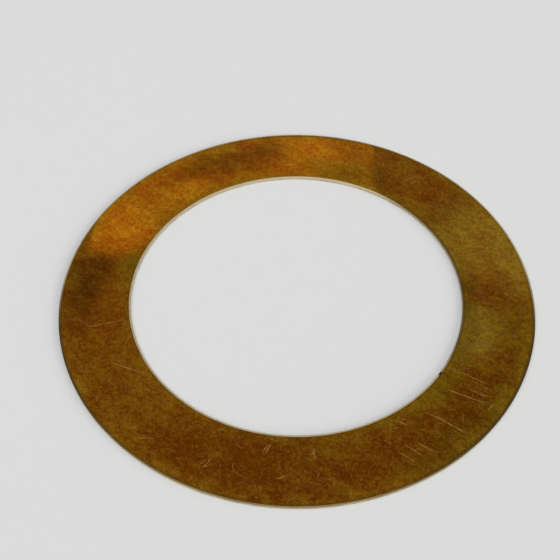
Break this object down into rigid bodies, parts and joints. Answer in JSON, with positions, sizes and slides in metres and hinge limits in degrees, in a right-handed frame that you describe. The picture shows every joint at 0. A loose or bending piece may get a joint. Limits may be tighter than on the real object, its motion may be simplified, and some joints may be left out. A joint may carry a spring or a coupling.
{
  "type": "flat washer",
  "caption": "Thin flat brass shim washer: a plain ring of rolled sheet with a wide round bore and sheared edges, for spacing parts on a shaft.",
  "frame": {"origin": "centre of the lower face, on the axis of the bore", "axes": "+Z along the bore's axis, up through the face whose rims are rolled over; the ring is round, so X and Y are any two directions across it"},
  "size_m": [0.1, 0.1, 0.0008],
  "materials": {
    "brass": "rolled brass sheet, satin, tarnished golden brown with fine handling scratches"
  },
  "bodies": {
    "root": {"washer_ring": "brass"}
  },
  "joints": []
}
